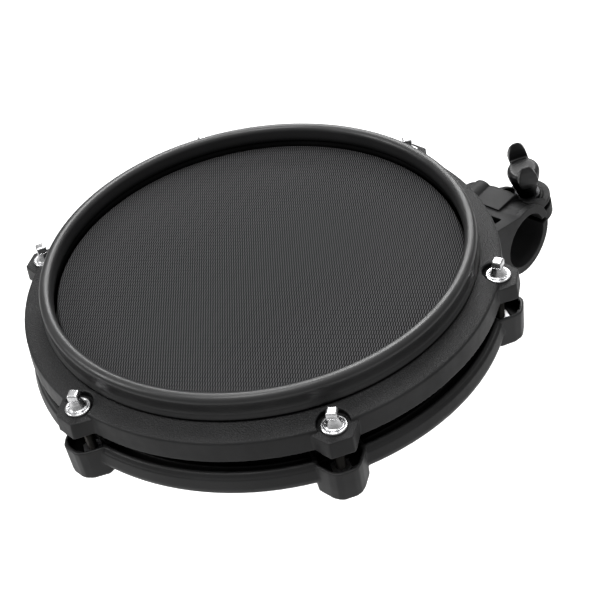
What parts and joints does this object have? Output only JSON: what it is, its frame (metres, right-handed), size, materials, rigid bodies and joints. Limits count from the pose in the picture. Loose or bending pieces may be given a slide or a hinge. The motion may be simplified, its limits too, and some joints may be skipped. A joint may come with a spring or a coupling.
{
  "type": "mesh-head practice pad",
  "caption": "Round mesh-head practice pad with a rubber-capped tension hoop, drum-key rods, an L-shaped mounting rod and a wing-nut clamp for a rack tube.",
  "frame": {"origin": "centre of the rack clamp's tube bore", "axes": "+X along the rack tube, +Y away from the player, +Z square to the playing surface"},
  "size_m": [0.2876, 0.379, 0.1899],
  "materials": {
    "clamp_plastic": "satin moulded nylon, fine spark grain",
    "grip_plastic": "satin moulded grip",
    "zinc_steel": "zinc plated",
    "brass": "turned",
    "nylon_bush": "dark nylon",
    "rod_chrome": "polished",
    "end_cap_rubber": "soft",
    "shell_plastic": "satin moulded",
    "cover_plastic": "fine grain",
    "bearing_plastic": "smooth",
    "bridge_steel": "galvanised",
    "foam": "open-cell foam",
    "board": "solder mask",
    "jack_plastic": "moulded",
    "lead_jacket": "flexible insulation",
    "mesh": "woven mesh",
    "flesh_hoop_plastic": "moulded",
    "hoop_plastic": "stippled flange, satin skirt",
    "rim_rubber": "satin",
    "tension_chrome": "polished"
  },
  "bodies": {
    "clamp": {"rack_clamp": "clamp_plastic", "clamp_bolt": "zinc_steel", "rod_set_nut": "zinc_steel"},
    "clamp_washer": {"clamp_washer": "zinc_steel"},
    "clamp_wing": {"clamp_wing_nut": "grip_plastic"},
    "rod_set_shoe": {"rod_set_shoe": "brass"},
    "rod_set_wing": {"rod_set_stud": "zinc_steel", "rod_set_wing": "grip_plastic"},
    "clamp_bush": {"clamp_rod_bush": "nylon_bush"},
    "l_rod": {"l_rod": "rod_chrome", "rod_end_caps": "end_cap_rubber"},
    "pad_bush": {"pad_rod_bush": "nylon_bush"},
    "pad": {"rod_block": "shell_plastic", "rod_block_screws": "zinc_steel", "pad_set_nut": "zinc_steel", "bottom_cover": "cover_plastic", "cover_screws": "zinc_steel", "lower_shell": "shell_plastic", "lug_inserts": "brass", "bearing_ring": "bearing_plastic", "bearing_ring_screws": "zinc_steel", "sensor_bridge": "bridge_steel", "bridge_dampers": "end_cap_rubber", "bridge_screws": "zinc_steel", "sensor_foam": "foam", "sensor_plate": "bridge_steel", "head_piezo": "brass", "foam_cone": "foam", "rim_piezo": "brass", "circuit_board": "board", "board_screws": "zinc_steel", "output_jack": "jack_plastic", "jack_nut": "zinc_steel", "sensor_leads": "lead_jacket", "mesh_head": "mesh"},
    "pad_set_shoe": {"pad_set_shoe": "brass"},
    "pad_set_wing": {"pad_set_stud": "zinc_steel", "pad_set_wing": "grip_plastic"},
    "hoop": {"flesh_hoop": "flesh_hoop_plastic", "counter_hoop": "hoop_plastic", "rubber_rim": "rim_rubber", "rod_washers": "tension_chrome"},
    "tension_rod_1": {"tension_rod_1": "tension_chrome"},
    "tension_rod_2": {"tension_rod_2": "tension_chrome"},
    "tension_rod_3": {"tension_rod_3": "tension_chrome"},
    "tension_rod_4": {"tension_rod_4": "tension_chrome"},
    "tension_rod_5": {"tension_rod_5": "tension_chrome"},
    "tension_rod_6": {"tension_rod_6": "tension_chrome"}
  },
  "joints": [
    {"name": "clamp_washer_lift", "type": "slide", "parent": "clamp", "child": "clamp_washer", "axis": [0, -0.2079, 0.9781], "range_m": [0, 0.003]},
    {"name": "clamp_wing_turn", "type": "hinge", "parent": "clamp_washer", "child": "clamp_wing", "pos_m": [0.006, 0.02714, 0.02622], "axis": [0, -0.2079, 0.9781], "range_deg": [0, 728]},
    {"name": "rod_shoe_lift", "type": "slide", "parent": "clamp", "child": "rod_set_shoe", "axis": [-1, 0, 0], "range_m": [0, 0.00075]},
    {"name": "rod_wing_turn", "type": "hinge", "parent": "rod_set_shoe", "child": "rod_set_wing", "pos_m": [-0.022, -0.045, -0.027], "axis": [-1, 0, 0], "range_deg": [0, 188]},
    {"name": "rod_swivel", "type": "hinge", "parent": "clamp", "child": "clamp_bush", "pos_m": [0.008, -0.045, -0.01], "axis": [0, 0, 1], "range_deg": [-30, 40]},
    {"name": "rod_height", "type": "slide", "parent": "clamp_bush", "child": "l_rod", "axis": [0, 0, 1], "range_m": [0, 0.05]},
    {"name": "pad_reach", "type": "slide", "parent": "l_rod", "child": "pad_bush", "axis": [0.3269, 0.9451, 0], "range_m": [-0.02, 0.015]},
    {"name": "pad_tilt", "type": "hinge", "parent": "pad_bush", "child": "pad", "pos_m": [-0.01577, -0.11374, 0.012], "axis": [0.3269, 0.9451, 0], "range_deg": [-20, 20]},
    {"name": "pad_shoe_lift", "type": "slide", "parent": "pad", "child": "pad_set_shoe", "axis": [0, 0, -1], "range_m": [0, 0.00075]},
    {"name": "pad_wing_turn", "type": "hinge", "parent": "pad_set_shoe", "child": "pad_set_wing", "pos_m": [-0.01577, -0.11374, 0.012], "axis": [0, 0, -1], "range_deg": [0, 188]},
    {"name": "hoop_draw", "type": "slide", "parent": "pad", "child": "hoop", "axis": [0, 0, 1], "range_m": [-0.0011, 0.0022]},
    {"name": "tension_rod_1_turn", "type": "hinge", "parent": "hoop", "child": "tension_rod_1", "pos_m": [0.08246, -0.10845, 0.077], "axis": [0, 0, 1], "range_deg": [-392, 784]},
    {"name": "tension_rod_2_turn", "type": "hinge", "parent": "hoop", "child": "tension_rod_2", "pos_m": [-0.038, -0.0389, 0.077], "axis": [0, 0, 1], "range_deg": [-392, 784]},
    {"name": "tension_rod_3_turn", "type": "hinge", "parent": "hoop", "child": "tension_rod_3", "pos_m": [-0.15846, -0.10845, 0.077], "axis": [0, 0, 1], "range_deg": [-392, 784]},
    {"name": "tension_rod_4_turn", "type": "hinge", "parent": "hoop", "child": "tension_rod_4", "pos_m": [-0.15846, -0.24755, 0.077], "axis": [0, 0, 1], "range_deg": [-392, 784]},
    {"name": "tension_rod_5_turn", "type": "hinge", "parent": "hoop", "child": "tension_rod_5", "pos_m": [-0.038, -0.3171, 0.077], "axis": [0, 0, 1], "range_deg": [-392, 784]},
    {"name": "tension_rod_6_turn", "type": "hinge", "parent": "hoop", "child": "tension_rod_6", "pos_m": [0.08246, -0.24755, 0.077], "axis": [0, 0, 1], "range_deg": [-392, 784]}
  ],
  "couplings": [
    {"joint": "clamp_wing_turn", "follows": "clamp_washer_lift", "rad_per_m": 4188.8},
    {"joint": "rod_wing_turn", "follows": "rod_shoe_lift", "rad_per_m": 4188.8},
    {"joint": "pad_wing_turn", "follows": "pad_shoe_lift", "rad_per_m": 4188.8},
    {"joint": "tension_rod_1_turn", "follows": "hoop_draw", "rad_per_m": 5936.9},
    {"joint": "tension_rod_2_turn", "follows": "hoop_draw", "rad_per_m": 5936.9},
    {"joint": "tension_rod_3_turn", "follows": "hoop_draw", "rad_per_m": 5936.9},
    {"joint": "tension_rod_4_turn", "follows": "hoop_draw", "rad_per_m": 5936.9},
    {"joint": "tension_rod_5_turn", "follows": "hoop_draw", "rad_per_m": 5936.9},
    {"joint": "tension_rod_6_turn", "follows": "hoop_draw", "rad_per_m": 5936.9}
  ]
}
